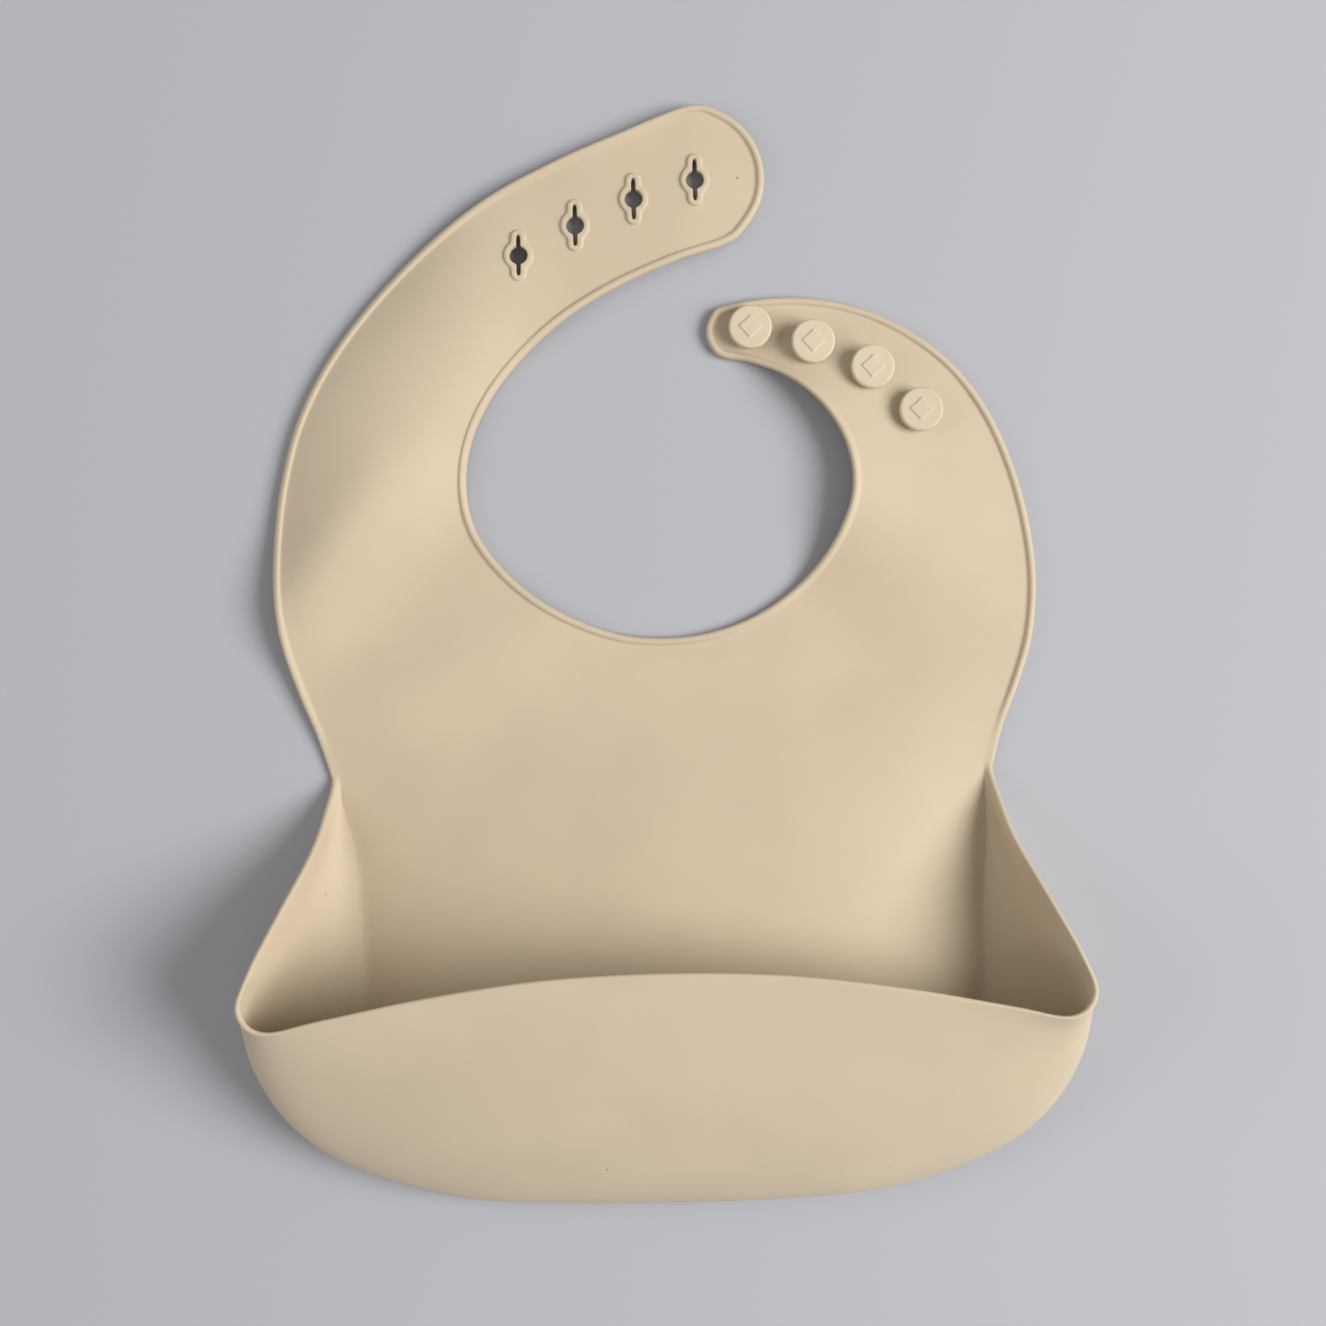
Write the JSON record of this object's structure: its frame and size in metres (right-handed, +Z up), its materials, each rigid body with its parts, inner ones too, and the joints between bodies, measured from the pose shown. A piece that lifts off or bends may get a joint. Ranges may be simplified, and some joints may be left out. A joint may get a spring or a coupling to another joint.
{
  "type": "silicone bib",
  "caption": "Flexible feeding bib with a curved neck opening, a catch pocket that stands open and two neck straps that fasten with studs in keyholes.",
  "frame": {"origin": "on the surface that the bib lies on, under the middle of its length and width", "axes": "+X across the bib towards the short strap with the studs, +Y along the bib from the pocket to the neck, +Z up out of the surface it lies on"},
  "size_m": [0.2258, 0.3063, 0.0465],
  "materials": {
    "silicone": "matte, fine moulded texture",
    "silicone_bead": "matte, smooth rounded bead",
    "silicone_stud": "matte, smooth moulded stud"
  },
  "bodies": {
    "root": {"lower_panel": "silicone", "pocket_side_left": "silicone", "pocket_side_right": "silicone", "pocket_corner_left": "silicone", "pocket_corner_right": "silicone", "pocket_bottom": "silicone"},
    "pocket_front": {"pocket_front": "silicone"},
    "chest": {"chest_panel": "silicone", "neckline_bead": "silicone_bead", "chest_bead_left": "silicone_bead", "chest_bead_right": "silicone_bead"},
    "long_strap": {"long_strap": "silicone", "long_strap_outer_bead": "silicone_bead", "long_strap_inner_bead": "silicone_bead"},
    "keyhole_tab": {"keyhole_tab": "silicone", "keyhole_tab_bead": "silicone_bead", "keyhole_collar_1": "silicone_bead", "keyhole_collar_2": "silicone_bead", "keyhole_collar_3": "silicone_bead", "keyhole_collar_4": "silicone_bead"},
    "short_strap": {"short_strap": "silicone", "short_strap_bead": "silicone_bead", "stud_1": "silicone_stud", "stud_2": "silicone_stud", "stud_3": "silicone_stud", "stud_4": "silicone_stud"}
  },
  "joints": [
    {"name": "pocket_flex", "type": "hinge", "parent": "root", "child": "pocket_front", "pos_m": [0, -0.14938, 0.01202], "axis": [1, 0, 0], "range_deg": [-30, 15], "stiffness_Nm_per_rad": 0.25},
    {"name": "waist_fold", "type": "hinge", "parent": "root", "child": "chest", "pos_m": [0, -0.02275, 0.0018], "axis": [1, 0, 0], "range_deg": [0, 95], "stiffness_Nm_per_rad": 0.004},
    {"name": "long_strap_bend", "type": "hinge", "parent": "chest", "child": "long_strap", "pos_m": [-0.078, 0.02925, 0.0018], "axis": [1, 0, 0], "range_deg": [0, 40], "stiffness_Nm_per_rad": 0.002},
    {"name": "keyhole_tab_bend", "type": "hinge", "parent": "long_strap", "child": "keyhole_tab", "pos_m": [-0.0495, 0.10025, 0.0018], "axis": [0.7855, -0.6189, 0], "range_deg": [0, 40], "stiffness_Nm_per_rad": 0.002},
    {"name": "short_strap_bend", "type": "hinge", "parent": "chest", "child": "short_strap", "pos_m": [0.078, 0.02925, 0.0018], "axis": [1, 0, 0], "range_deg": [0, 50], "stiffness_Nm_per_rad": 0.002}
  ]
}
